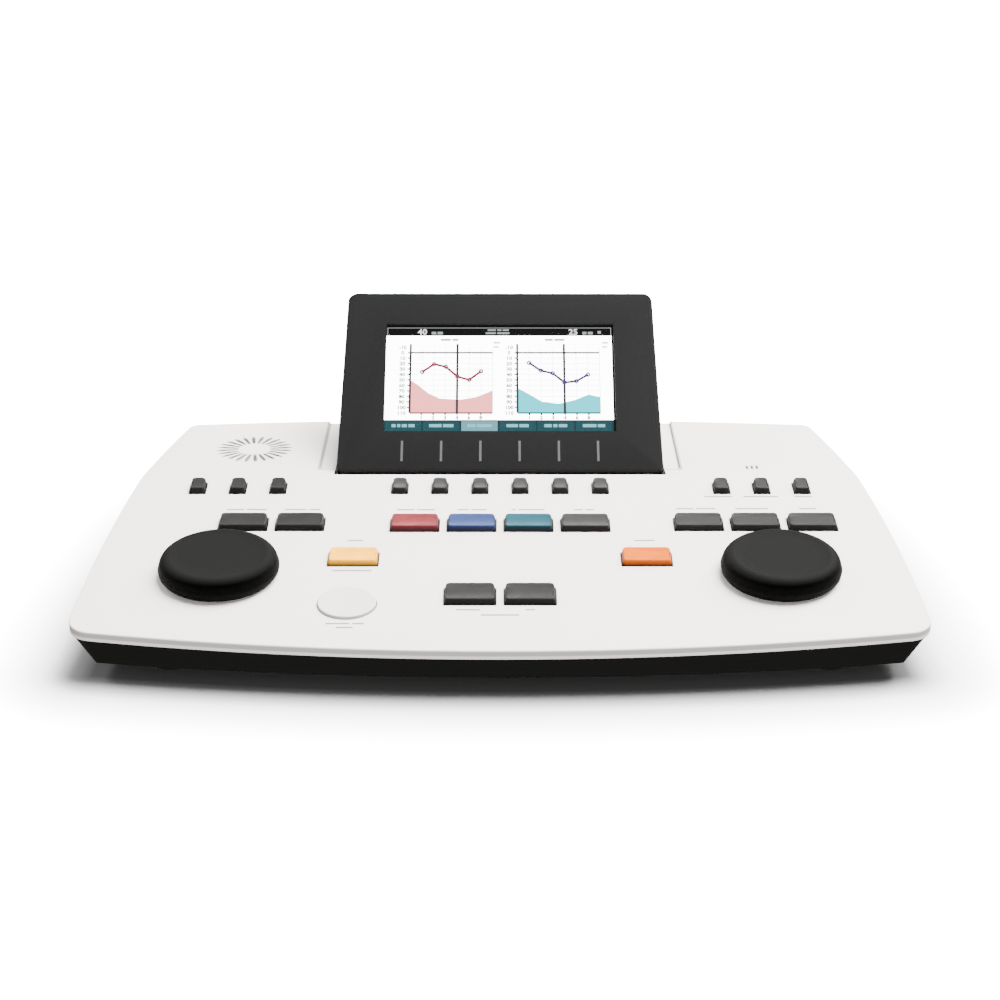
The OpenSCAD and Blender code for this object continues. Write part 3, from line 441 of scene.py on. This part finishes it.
def base_floor():
    """The base plate, with its outer lower edge rounded."""
    bm = cad_copy("base_plate")
    lower = [edge for edge in bm.edges if steep(edge, 30)
             and any(face.normal.z < -0.9 for face in edge.link_faces)
             and any(face.normal.z > -0.8 and face.normal.xy.length > 0.4
                     and face.calc_center_median().dot(face.normal) > 0.05
                     for face in edge.link_faces)
             and min(vert.co.z for vert in edge.verts) < 2.6 * MM]
    soften(bm, lower, 1.6 * MM, 4)
    piece("base_floor", bm, BASE, "chassis", ["base_plate"], 24)


def grille_cloth():
    """The dust cloth, a disc glued flat under the slits of the loudspeaker's grille."""
    under, radius = crease.z - 3.35 * MM, 18 * MM
    bm = bmesh.new()
    bmesh.ops.create_circle(bm, cap_ends=True, radius=radius, segments=48)
    made = bmesh.ops.extrude_face_region(bm, geom=bm.faces[:])["geom"]
    bmesh.ops.translate(bm, verts=[part for part in made if isinstance(part, bmesh.types.BMVert)],
                        vec=(0, 0, 0.3 * MM))
    bmesh.ops.translate(bm, verts=bm.verts, vec=(GRILLE.x, GRILLE.y, under))
    bmesh.ops.recalc_face_normals(bm, faces=bm.faces)
    cloth = piece("grille_cloth", bm, CLOTH, "chassis")


def display_half(node, name, up):
    """Front or rear half of the display housing, with its outer edge rounded."""
    bm = cad_copy(node)
    out = (display.to_3x3() @ Vector((0, 0, up))).normalized()
    corners = seen_in(node, display)
    level = max(up * corner.z for corner in corners) * up
    back = display.inverted()
    rim = []
    for edge in bm.edges:
        if not steep(edge, 60):
            continue
        a, b = (back @ vert.co for vert in edge.verts)
        outer = [face for face in edge.link_faces if face.normal.dot(out) > 0.9]
        side = [face for face in edge.link_faces if face not in outer]
        if len(outer) != 1 or not side:
            continue
        middle = (a + b) / 2
        if abs(middle.z - level) > 0.0002:
            continue
        reach = (back.to_3x3() @ side[0].normal)
        if all((back @ vert.co).dot(reach) < middle.dot(reach) + 0.0015 for vert in bm.verts):
            rim.append(edge)
    soften(bm, rim, 1.1 * MM if up > 0 else 2.2 * MM, 4)
    piece(name, bm, DISPLAY, "display", [node], 24)


# ---- Keys and dials ---------------------------------------------------------------------


def round_plan(corners):
    """The radius of a round piece and the middle of its plan."""
    low, high = ([end(corner[axis] for corner in corners) for axis in range(2)]
                 for end in (min, max))
    return (high[0] - low[0]) / 2, [(a + b) / 2 for a, b in zip(low, high)]


def key_cap(node, finish):
    """A key cap: drafted sides, rounded corners, and a dished top that slopes to the front."""
    top = [corner for corner in seen_in(node, panel) if corner.z > 0.2 * MM]
    low = Vector(min(corner[axis] for corner in top) for axis in range(3))
    high = Vector(max(corner[axis] for corner in top) for axis in range(3))
    width, depth = high.x - low.x, high.y - low.y
    centre = (low + high) / 2
    skirt, draft, slope, hollow = 2.6 * MM, 0.8 * MM, 0.5 * MM, 0.5 * MM
    bm = bmesh.new()
    add_box(bm, (width, depth, skirt), (0, 0, -skirt), Matrix.Identity(4))
    add_box(bm, (width, depth, high.z), (0, 0, 0), Matrix.Identity(4), draft)
    for vert in bm.verts:
        if vert.co.z > 0.1 * MM and vert.co.y > 0:
            vert.co.y += draft - 0.3 * MM
    bmesh.ops.remove_doubles(bm, verts=bm.verts, dist=0.00001)
    inner = [face for face in bm.faces if abs(face.calc_center_median().z) < 0.00001]
    bmesh.ops.delete(bm, geom=inner, context="FACES_ONLY")
    upright = [edge for edge in bm.edges
               if abs(edge.verts[0].co.z - edge.verts[1].co.z) > 0.0005]
    soften(bm, upright, 1.5 * MM, 4)
    bmesh.ops.remove_doubles(bm, verts=bm.verts, dist=0.000002)
    crown = max(bm.faces, key=lambda face: face.calc_center_median().z)
    soften(bm, list(crown.edges), 0.45 * MM, 3)
    for cut in range(1, 8):
        at = -depth / 2 + 1.4 * MM + (depth - 2.8 * MM) * cut / 8
        bmesh.ops.bisect_plane(bm, geom=bm.verts[:] + bm.edges[:] + bm.faces[:],
                               plane_co=(0, at, 0), plane_no=(0, 1, 0))
    reach = depth / 2 - 1.2 * MM
    for vert in bm.verts:
        share = max(0, vert.co.z / high.z)
        if share > 0.99 and abs(vert.co.y) < reach:
            vert.co.z -= hollow * (1 - (vert.co.y / reach) ** 2)
        if share > 0:
            vert.co.z -= share * slope * (0.5 - vert.co.y / depth)
    bmesh.ops.translate(bm, verts=bm.verts, vec=(centre.x, centre.y, 0))
    bmesh.ops.transform(bm, matrix=panel, verts=bm.verts)
    bmesh.ops.recalc_face_normals(bm, faces=bm.faces)
    piece(f"{node}_cap", bm, finish, node, [node], 40)


def round_key():
    """The round key: a flat pad with a fine raised lip and a shallow dish."""
    top = [corner for corner in seen_in("round_key", panel) if corner.z > 0.2 * MM]
    height = max(corner.z for corner in top)
    radius, centre = round_plan(top)
    profile = [(0, height - 0.5 * MM), (radius * 0.4, height - 0.45 * MM),
               (radius * 0.75, height - 0.25 * MM), (radius - 1.1 * MM, height - 0.04 * MM),
               (radius - 0.7 * MM, height), (radius - 0.3 * MM, height - 0.12 * MM),
               (radius, height - 0.5 * MM), (radius, -2.6 * MM), (0, -2.6 * MM)]
    bm = turned(profile, (centre[0], centre[1], 0), panel, 72)
    piece("round_key_cap", bm, ROUND_KEY, "round_key", ["round_key"], 40)


def dial(side):
    """A dial: a domed top, a soft wide edge and an almost upright wall."""
    node, body = f"dial_{side}", f"{side}_dial"
    corners = seen_in(node, panel)
    height = max(corner.z for corner in corners)
    foot = min(corner.z for corner in corners)
    radius, centre = round_plan(corners)
    edge, wall, bulge = 5.2 * MM, 2.4 * MM, 0.4 * MM
    crown, middle = radius - bulge, foot + (height - foot) * 0.38
    profile = [(0, height - 0.5 * MM), (radius * 0.3, height - 0.42 * MM),
               (radius * 0.6, height - 0.22 * MM), (radius * 0.78, height - 0.06 * MM),
               (crown - edge, height)]
    profile += [(crown - edge + edge * math.sin(turn), height - edge + edge * math.cos(turn))
                for turn in (math.radians(80 * step / 9) for step in range(1, 10))]
    profile += [(radius - 0.12 * MM, middle + 0.5 * MM), (radius, middle),
                (radius - 0.3 * MM, middle - 2 * MM), (radius - 1.1 * MM, foot + 0.5 * MM),
                (radius - 1.6 * MM, foot), (radius - wall - 1 * MM, foot),
                (radius - wall - 1 * MM, height - edge - 1 * MM),
                (radius - edge - 3 * MM, height - 3 * MM), (0, height - 3 * MM)]
    bm = turned(profile, (centre[0], centre[1], 0), panel, 128)
    piece(f"{side}_dial_cap", bm, DIAL, body, [node], 40)


# ---- Lit panel --------------------------------------------------------------------------

window_corners = seen_in("display_window", display)
WINDOW_BACK = min(corner.z for corner in window_corners)
panel_corners = seen_in("display_panel", display)
SCREEN_W, SCREEN_H = 110.7 * MM, 61 * MM
PICTURE_LEFT = 0.7 * MM
panel_low, panel_high = (end(corner.y for corner in panel_corners) for end in (min, max))
screen_centre = Vector((0, (panel_low + panel_high) / 2, 0))
screen_corner = screen_centre + Vector((-SCREEN_W / 2 - PICTURE_LEFT, -SCREEN_H / 2, 0))
# The screen's own frame: millimetres from its lower left corner, z out of it.
screen = display @ Matrix.Translation(screen_corner) @ Matrix.Scale(MM, 4)
FACE = WINDOW_BACK / MM - 0.3
LAYER = 0.03

LIT_WHITE = lit("lit_white", tone(252, 253, 254), 14.0)
LIT_BLACK = lit("lit_black", tone(4, 4, 5))
LIT_PALE = lit("lit_pale", tone(90, 92, 92))
LIT_BAR = lit("lit_bar", tone(10, 26, 29))
LIT_BUTTON = lit("lit_button", tone(13, 36, 40))
LIT_CHOSEN = lit("lit_chosen", tone(54, 88, 94))
LIT_LABEL = lit("lit_label", tone(70, 112, 114))
LIT_READING = lit("lit_reading", tone(150, 152, 152))
LIT_ROSE = lit("lit_rose", tone(184, 108, 107))
LIT_AQUA = lit("lit_aqua", tone(24, 138, 148))
LIT_GRID = lit("lit_grid", tone(176, 190, 190))
LIT_LINE = lit("lit_line", tone(30, 31, 34))
LIT_RED = lit("lit_red", tone(78, 26, 40))
LIT_BLUE = lit("lit_blue", tone(38, 30, 66))


def screen_piece(name, bm, finish):
    bmesh.ops.transform(bm, matrix=screen, verts=bm.verts)
    piece(name, bm, finish, "display")


def plate(bm, left, low, right, high, layer):
    """A flat rectangle on the screen, a layer above the ones under it."""
    add_box(bm, (right - left, high - low, LAYER), ((left + right) / 2, (low + high) / 2,
            FACE + layer * LAYER), Matrix.Identity(4))


def stroke(bm, a, b, width, layer):
    """A straight line between two points of the screen."""
    a, b = Vector(a), Vector(b)
    along = b - a
    turn = Matrix.Rotation(math.atan2(along.y, along.x), 4, "Z")
    middle = (a + b) / 2
    place = Matrix.Translation((middle.x, middle.y, FACE + layer * LAYER)) @ turn
    add_box(bm, (along.length, width, LAYER), (0, 0, 0), place)


def numbers(name, marks, finish, layer):
    """Plain numbers: (text, x, y, height) from the screen's lower left corner."""
    bm = bmesh.new()
    for text, x, y, height in marks:
        curve = bpy.data.curves.new(name, "FONT")
        curve.body, curve.size, curve.align_x = text, height * 1.35, "CENTER"
        curve.resolution_u, curve.offset = 2, 0.3 / height
        words = bpy.data.objects.new(name, curve)
        bpy.context.scene.collection.objects.link(words)
        bpy.context.view_layer.update()
        flat = bpy.data.meshes.new_from_object(words)
        flat.transform(Matrix.Translation((x, y, FACE + layer * LAYER)))
        bm.from_mesh(flat)
        bpy.data.objects.remove(words)
        bpy.data.curves.remove(curve)
        bpy.data.meshes.remove(flat)
    screen_piece(name, bm, finish)


def filled(bm, left, low, points, layer):
    """A coloured area under a curve, from the chart's foot up to the curve's points."""
    level = FACE + (layer + 0.3) * LAYER
    for (ax, ay), (bx, by) in zip(points, points[1:]):
        corners = [(left + ax, low), (left + bx, low), (left + bx, low + by), (left + ax, low + ay)]
        bm.faces.new([bm.verts.new((x, y, level)) for x, y in corners])
    bmesh.ops.remove_doubles(bm, verts=bm.verts, dist=0.001)


def upright_line(bm, x, low, high, half, layer):
    plate(bm, x - half, low, x + half, high, layer)


def level_line(bm, left, right, y, half, layer):
    plate(bm, left, y - half, right, y + half, layer)


def chart(name, left, area_curve, line_curve, area, line):
    """One of the two charts: grid, coloured area, a curve with ring marks and its axes."""
    width, height, low = 40.0, 37.6, 11.4
    columns = [left + width * step / 7 for step in range(1, 7)]
    rows = [low + height * step / 12 for step in range(1, 12)]
    cursor, ring_radius = left + width * 0.57, 0.9
    bm = bmesh.new()
    for x in columns:
        upright_line(bm, x, low, low + height, 0.1, 2)
    for y in rows:
        level_line(bm, left, left + width, y, 0.1, 2)
    screen_piece(f"{name}_grid", bm, LIT_GRID)
    bm = bmesh.new()
    filled(bm, left, low, [(x * width, y * height) for x, y in area_curve], 3)
    screen_piece(f"{name}_area", bm, area)
    bm = bmesh.new()
    plate(bm, left - 0.6, low, left + 0.5, low + height + 2, 4)
    upright_line(bm, left + width, low, low + height, 0.1, 4)
    plate(bm, left, low - 0.5, left + width, low + 0.4, 4)
    level_line(bm, left, left + width, rows[-1], 0.5, 4)
    upright_line(bm, cursor, low, low + height + 2, 0.6, 5)
    for y in rows:
        level_line(bm, left - 1.5, left, y, 0.42, 4)
    for x in columns:
        upright_line(bm, x, low - 1.3, low, 0.42, 4)
    screen_piece(f"{name}_axes", bm, LIT_LINE)
    bm = bmesh.new()
    places = [(left + x * width, low + y * height) for x, y in line_curve]
    for a, b in zip(places, places[1:]):
        stroke(bm, a, b, 1.3, 5.3)
    for x, y in places:
        ring = [(x + ring_radius * math.cos(turn), y + ring_radius * math.sin(turn))
                for turn in (math.tau * step / 12 for step in range(13))]
        for a, b in zip(ring, ring[1:]):
            stroke(bm, a, b, 0.9, 6)
    screen_piece(f"{name}_curve", bm, line)
    marks = [(str(10 * (step - 1)), left - 4, low + height * (1 - step / 12) - 1, 2.1)
             for step in range(0, 13)]
    marks += [(str(number), left + width * (step + 1) / 7, low - 3.5, 2)
              for step, number in enumerate((1, 2, 3, 4, 6, 8))]
    numbers(f"{name}_numbers", marks, LIT_LINE, 4)


def bars(bm, rows, layer):
    """Short bars in place of words: (left, low, height, lengths)."""
    for left, low, height, lengths in rows:
        for length in lengths:
            plate(bm, left, low, left + length, low + height, layer)
            left += length + 0.7


def lit_panel():
    bm = bmesh.new()
    lcd_low = min(corner.z for corner in panel_corners)
    across = max(corner.x for corner in panel_corners)
    add_box(bm, (2 * across, panel_high - panel_low, FACE * MM - lcd_low),
            (0, screen_centre.y, lcd_low), display)
    soften(bm, bm.edges, 0.4 * MM, 2)
    piece("lit_panel_body", bm, LIT_BLACK, "display", ["display_panel"])
    bm = bmesh.new()
    wide, tall = SCREEN_W / MM, SCREEN_H / MM
    top, foot = tall - 5.2, 7.6
    plate(bm, 0, foot, wide, top, 1)
    screen_piece("lit_page", bm, LIT_WHITE)
    bm = bmesh.new()
    plate(bm, 0, 0, wide, foot, 1)
    screen_piece("lit_foot_bar", bm, LIT_BAR)
    bm, chosen, labels = bmesh.new(), bmesh.new(), bmesh.new()
    words = ((2, 1.5, 2.5, 3), (6, 5), (4, 7), (5.5, 4.5), (3.5, 2, 4), (6.5, 3.5))
    pitch, half = 18.3, 8.7
    for slot, lengths in enumerate(words):
        middle = wide / 2 + (slot - 2.5) * pitch
        plate(chosen if slot == 2 else bm, middle - half, 1.4, middle + half, 6.9, 2)
        left = middle - (sum(lengths) + 0.7 * (len(lengths) - 1)) / 2
        bars(labels, [(left, 3.5, 1.7, lengths)], 3)
    screen_piece("lit_soft_labels", bm, LIT_BUTTON)
    screen_piece("lit_chosen_label", chosen, LIT_CHOSEN)
    screen_piece("lit_label_bars", labels, LIT_LABEL)
    numbers("lit_readings", [("40", 18, top + 0.7, 3.4), ("25", 92, top + 0.7, 3.4)],
            LIT_READING, 2)
    bm = bmesh.new()
    bars(bm, [(22.5, top + 0.8, 1.5, (2.2, 2.6)), (96.5, top + 0.8, 1.5, (2, 2.4)),
              (104, top + 1.2, 1.6, (1.6,)), (50, top + 2.8, 1, (4, 2, 3)),
              (49, top + 1, 1, (5, 6))], 2)
    # A painted highlight of the window's edge round the picture, drawn as fine pale glowing lines.
    plate(bm, 0.8, top, 1.1, tall - 0.6, 2)
    plate(bm, wide - 0.4, top, wide - 0.1, tall - 0.6, 2)
    plate(bm, 0.8, tall - 0.8, wide, tall - 0.5, 2)
    screen_piece("lit_status_bars_and_edge_highlight", bm, LIT_PALE)
    bm = bmesh.new()
    bars(bm, [(27, top - 3, 1.2, (5, 3)), (78, top - 3, 1.2, (4, 5)), (53, top - 4.6, 0.9, (3,)),
              (106, top - 4.6, 0.9, (3,)), (53, top - 7, 0.9, (2.4,)),
              (106, top - 7, 0.9, (2.4,))], 2)
    screen_piece("lit_page_bars", bm, LIT_PALE)
    chart("left_chart", 12.5,
          [(0, 0.5), (0.1, 0.42), (0.22, 0.3), (0.36, 0.22), (0.6, 0.2), (0.8, 0.24),
           (0.92, 0.3), (1, 0.34)],
          [(0.143, 0.62), (0.286, 0.74), (0.429, 0.7), (0.571, 0.55), (0.714, 0.5), (0.857, 0.63)],
          LIT_ROSE, LIT_RED)
    chart("right_chart", 64.5,
          [(0, 0.38), (0.12, 0.3), (0.3, 0.17), (0.5, 0.14), (0.7, 0.2), (0.86, 0.28), (1, 0.24)],
          [(0.143, 0.76), (0.286, 0.64), (0.429, 0.6), (0.571, 0.46), (0.714, 0.48), (0.857, 0.58)],
          LIT_AQUA, LIT_BLUE)


# ---- Printed marks ----------------------------------------------------------------------

def bezel_ticks():
    """Six fine lines that lead from the picture down to the small keys."""
    bm = bmesh.new()
    size, pitch = (1.1 * MM, 11.2 * MM, 0.03 * MM), 18.65 * MM
    y, face = 11 * MM - HINGE_TO_FOOT, HINGE_TO_FACE - 0.01 * MM
    for step in range(6):
        add_box(bm, size, ((step - 2.5) * pitch, y, face), display)
    piece("bezel_ticks", bm, TICK, "display")


def legends():
    """Plain short bars beside the keys, where the panel carries print."""
    rows = [
        (-115.9, -32.2, (8, 9)), (-90.3, -32.2, (10, 5)),
        (-38.5, -32.4, (8, 8)), (-12.8, -32.4, (5, 7)), (12.8, -32.4, (2, 12)),
        (38.5, -32.4, (4, 4)), (89.6, -31.4, (8, 9)), (115.2, -31.4, (15,)), (140.9, -31.4, (8,)),
        (-64.3, -61.4, (7,)), (64.3, -61.4, (9,)), (-64.3, -88.3, (17,)),
        (-64.7, -132.5, (10, 5)), (-64.7, -135.6, (7,)),
        (-13.5, -121.3, (10,)), (12.8, -121.3, (4,)), (0, -125.6, (16,)),
        (101, -19.6, (13,)), (120.6, -19.6, (16,)), (140.3, -19.6, (8,)),
    ]
    gap, height = 1.2, 1.15
    bm = bmesh.new()
    for x, y, lengths in rows:
        left = x - (sum(lengths) + gap * (len(lengths) - 1)) / 2
        for length in lengths:
            add_box(bm, (length * MM, height * MM, 0.03 * MM),
                    ((left + length / 2) * MM, y * MM, -0.01 * MM), panel)
            left += length + gap
    piece("panel_legends", bm, LEGEND, "chassis")


# ---- The object -------------------------------------------------------------------------

top_cover()
base_floor()
grille_cloth()
display_half("display_bezel", "display_front", 1)
display_half("display_back", "display_rear", -1)
dial("left")
dial("right")
round_key()
KEY_COLOURS = {"red_key": "red", "blue_key": "blue", "teal_key": "teal", "yellow_key": "yellow",
               "orange_key": "orange", "left_key_1": "dark", "left_key_2": "dark",
               "left_small_key_1": "dark", "left_small_key_2": "dark", "left_small_key_3": "dark",
               "front_key_1": "middle", "front_key_2": "middle"}
for body, members in frame["record"]["behaviour"]["bodies"].items():
    if members == [body] and body != "round_key":
        key_cap(body, KEY_FINISH[KEY_COLOURS.get(body, "grey")])
lit_panel()
bezel_ticks()
legends()
dress(PANE, "display_window")
dress(BASE, "base_shell", "connector_frame")
dress(WELL, "display_well")
dress(RECESS, "connector_panel", "usb_plate")
dress(SOCKET, "jack_sockets", "power_inlet")
dress(PLATED, "usb_socket", "encoder_left", "encoder_right")
dress(STEEL, "jack_nuts", "base_screws", "small_screws", "display_screws")
dress(HINGE_STEEL, "hinge_brackets", "hinge_pins", "dial_shaft_left", "dial_shaft_right")
dress(RUBBER, "feet")
dress(BOARD, "main_board", "key_board", "display_board")
dress(MAT, "key_mat")
dress(RIBBON, "board_ribbon")
dress(CONE, "speaker", "microphone")


# ---- Floor, light and camera ------------------------------------------------------------

# The base's foot, as the floor's finish measures from it.
FRONT_BOW, FRONT_Y = 0.496, 0.1135
SIDE_BOW, SIDE_X, SIDE_WIDEST_Y = 0.55, 0.1717, -0.1
REAR_Y = 0.102
# How far from the foot the painted contact shade and the unlit part of the floor reach.
SHADE_END, GLOW_START, GLOW_END = 0.02, 0.013, 0.057
FLOOR_HALF = 60


def studio():
    """A pale floor that glows white, but falls to a painted shade near the foot, and lights."""
    floor_finish = Finish("floor")
    cloud = floor_finish.noise(2, 2)
    x, y, _ = (floor_finish.parts(floor_finish.place)[axis] for axis in range(3))
    x = x.sum("ABSOLUTE")
    # How far outside the base's foot: a curved front, leaning sides and a straight rear.
    ahead = (x * x * FRONT_BOW - y - FRONT_Y).sum("MAXIMUM", 0)
    along = y - SIDE_WIDEST_Y
    beside = (x + along * along * SIDE_BOW - SIDE_X).sum("MAXIMUM", 0)
    behind = (y - REAR_Y).sum("MAXIMUM", 0)
    away = (ahead * ahead + beside * beside + behind * behind).sum("SQRT")
    pale = floor_finish.mix(cloud, tone(250, 250, 250), tone(253, 253, 253))
    floor_look = floor_finish.surface(
        Base_Color=floor_finish.mix(away.over(0, SHADE_END), tone(104, 104, 104), pale),
        Roughness=cloud * 0.1 + 0.6, Emission_Strength=16.0,
        Emission_Color=floor_finish.mix(away.over(GLOW_START, GLOW_END).sum("POWER", 1.7),
                                        (0, 0, 0, 1), (1, 1, 1, 1)))
    bm = bmesh.new()
    bmesh.ops.create_grid(bm, x_segments=1, y_segments=1, size=FLOOR_HALF)
    mesh = bpy.data.meshes.new("floor")
    bm.to_mesh(mesh)
    bm.free()
    mesh.materials.append(floor_look)
    floor = bpy.data.objects.new("floor", mesh)
    bpy.context.scene.collection.objects.link(floor)
    floor.visible_diffuse = floor.visible_glossy = False

    world = bpy.data.worlds.new("studio")
    world.use_nodes = True
    back = world.node_tree.nodes["Background"]
    back.inputs["Color"].default_value = (1, 1, 1, 1)
    back.inputs["Strength"].default_value = 0.4
    bpy.context.scene.world = world

    # Name, place, size, power in watts, and whether it shows in reflections.
    lamps = (("sky", (0.8, 0.3, 2.25), 2.1, 355, False),
             ("front", (0, -1.8, 0.22), 0.8, 30, False),
             ("left_rear", (-1.5, 1.1, 1.3), 0.7, 20, True),
             ("right_rear", (1.5, 1.1, 1.3), 0.7, 45, True))
    for name, place, size, power, shines in lamps:
        light = bpy.data.lights.new(name, "AREA")
        light.shape, light.size, light.energy = "DISK", size, power
        lamp = bpy.data.objects.new(name, light)
        lamp.location = place
        lamp.rotation_euler = (-Vector(place)).to_track_quat("-Z", "Y").to_euler()
        lamp.visible_glossy = shines
        bpy.context.scene.collection.objects.link(lamp)


CAMERA_FROM_CREASE = Vector((0, -0.9473, 0.3521))
CAMERA_DOWN = math.radians(21)
FOCAL_PIXELS, PICTURE_PIXELS = 2147, 1000


def viewpoint():
    """The photograph's camera, as solved from the panel, the deck and the display."""
    camera = bpy.data.cameras.new("camera")
    camera.sensor_width = 36
    camera.lens = camera.sensor_width * FOCAL_PIXELS / PICTURE_PIXELS
    camera.dof.use_dof = False
    eye = bpy.data.objects.new("camera", camera)
    eye.location = crease + CAMERA_FROM_CREASE
    eye.rotation_euler = (math.radians(90) - CAMERA_DOWN, 0, 0)
    bpy.context.scene.collection.objects.link(eye)
    bpy.context.scene.camera = eye


studio()
viewpoint()
